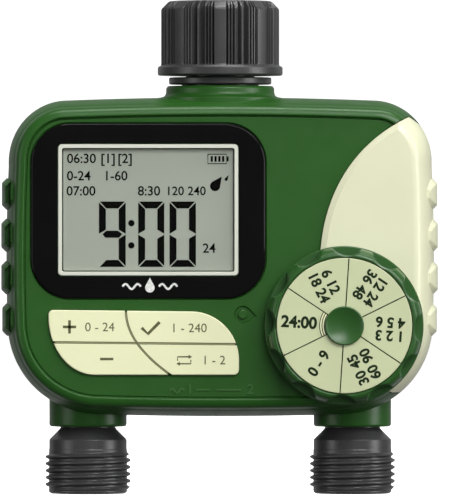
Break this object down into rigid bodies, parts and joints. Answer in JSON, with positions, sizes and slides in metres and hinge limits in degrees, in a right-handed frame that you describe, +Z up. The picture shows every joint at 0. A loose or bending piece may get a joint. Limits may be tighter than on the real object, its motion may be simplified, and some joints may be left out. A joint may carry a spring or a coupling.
{
  "type": "drip irrigation timer",
  "caption": "Battery powered hose-tap water timer with a swivel inlet nut, threaded outlets, a display, press keys and a rotary dial.",
  "frame": {"origin": "middle of the inlet washer's sealing face, on the inlet axis", "axes": "+Z up along the inlet axis towards the tap; -Y is the side with the display, keys and dial; +X is to the right of a person facing it"},
  "size_m": [0.1396, 0.065, 0.1575],
  "materials": {
    "green_case": "satin",
    "cream_plastic": "satin",
    "gloss_black": "gloss",
    "lens": "gloss",
    "display": "satin",
    "board": "satin",
    "black_plastic": "satin",
    "rubber": "matte",
    "steel": "satin",
    "winding": "satin",
    "cell": "gloss"
  },
  "bodies": {
    "housing": {"front_housing": "green_case", "rear_housing": "green_case", "side_panel": "cream_plastic", "display_bezel": "gloss_black", "lcd_frame": "cream_plastic", "display_lens": "lens", "lcd_panel": "display", "circuit_board": "board", "switch_plus": "black_plastic", "switch_ok": "black_plastic", "switch_minus": "black_plastic", "switch_zone": "black_plastic", "rotary_switch": "black_plastic", "housing_seal_left": "rubber", "housing_seal_right": "rubber", "housing_seal_bottom": "rubber", "case_screw_1": "steel", "case_screw_2": "steel", "case_screw_3": "steel", "case_screw_4": "steel", "inlet_stem": "black_plastic", "inlet_washer": "rubber", "filter_screen": "steel", "manifold": "black_plastic", "valve_body_left": "black_plastic", "valve_body_right": "black_plastic", "diaphragm_left": "rubber", "diaphragm_right": "rubber", "solenoid_left": "winding", "solenoid_right": "winding", "plunger_spring_left": "steel", "plunger_spring_right": "steel", "outlet_gasket_left": "rubber", "outlet_gasket_right": "rubber", "outlet_left": "black_plastic", "outlet_right": "black_plastic", "solenoid_lead_left": "black_plastic", "solenoid_lead_right": "black_plastic", "battery_1": "cell", "battery_2": "cell", "battery_3": "cell", "battery_4": "cell", "battery_contact_left_upper": "steel", "battery_contact_left_lower": "steel", "battery_contact_right_upper": "steel", "battery_contact_right_middle": "steel", "battery_contact_right_lower": "steel"},
    "nut": {"inlet_nut": "black_plastic"},
    "dial": {"dial_knob": "green_case", "dial_plate": "cream_plastic", "dial_cap": "green_case", "dial_shaft": "black_plastic"},
    "plus_key": {"key_plus": "cream_plastic"},
    "ok_key": {"key_ok": "cream_plastic"},
    "minus_key": {"key_minus": "cream_plastic"},
    "zone_key": {"key_zone": "cream_plastic"},
    "door": {"battery_door": "green_case"},
    "left_plunger": {"plunger_left": "steel"},
    "right_plunger": {"plunger_right": "steel"}
  },
  "joints": [
    {"name": "nut_swivel", "type": "hinge", "parent": "housing", "child": "nut", "pos_m": [0, 0, 0], "axis": [0, 0, 1], "continuous": true},
    {"name": "dial_turn", "type": "hinge", "parent": "housing", "child": "dial", "pos_m": [0.0393, -0.03, -0.09255], "axis": [0, -1, 0], "continuous": true},
    {"name": "plus_key_press", "type": "slide", "parent": "housing", "child": "plus_key", "axis": [0, 1, 0], "range_m": [0, 0.0008], "stiffness_N_per_m": 1500},
    {"name": "ok_key_press", "type": "slide", "parent": "housing", "child": "ok_key", "axis": [0, 1, 0], "range_m": [0, 0.0008], "stiffness_N_per_m": 1500},
    {"name": "minus_key_press", "type": "slide", "parent": "housing", "child": "minus_key", "axis": [0, 1, 0], "range_m": [0, 0.0008], "stiffness_N_per_m": 1500},
    {"name": "zone_key_press", "type": "slide", "parent": "housing", "child": "zone_key", "axis": [0, 1, 0], "range_m": [0, 0.0008], "stiffness_N_per_m": 1500},
    {"name": "door_open", "type": "hinge", "parent": "housing", "child": "door", "pos_m": [0, 0.0253, -0.1126], "axis": [-1, 0, 0], "range_deg": [0, 110]},
    {"name": "left_plunger_lift", "type": "slide", "parent": "housing", "child": "left_plunger", "axis": [0, 0, 1], "range_m": [0, 0.0025], "stiffness_N_per_m": 300, "springref_m": -0.003, "deforming": ["plunger_spring_left"]},
    {"name": "right_plunger_lift", "type": "slide", "parent": "housing", "child": "right_plunger", "axis": [0, 0, 1], "range_m": [0, 0.0025], "stiffness_N_per_m": 300, "springref_m": -0.003, "deforming": ["plunger_spring_right"]}
  ]
}
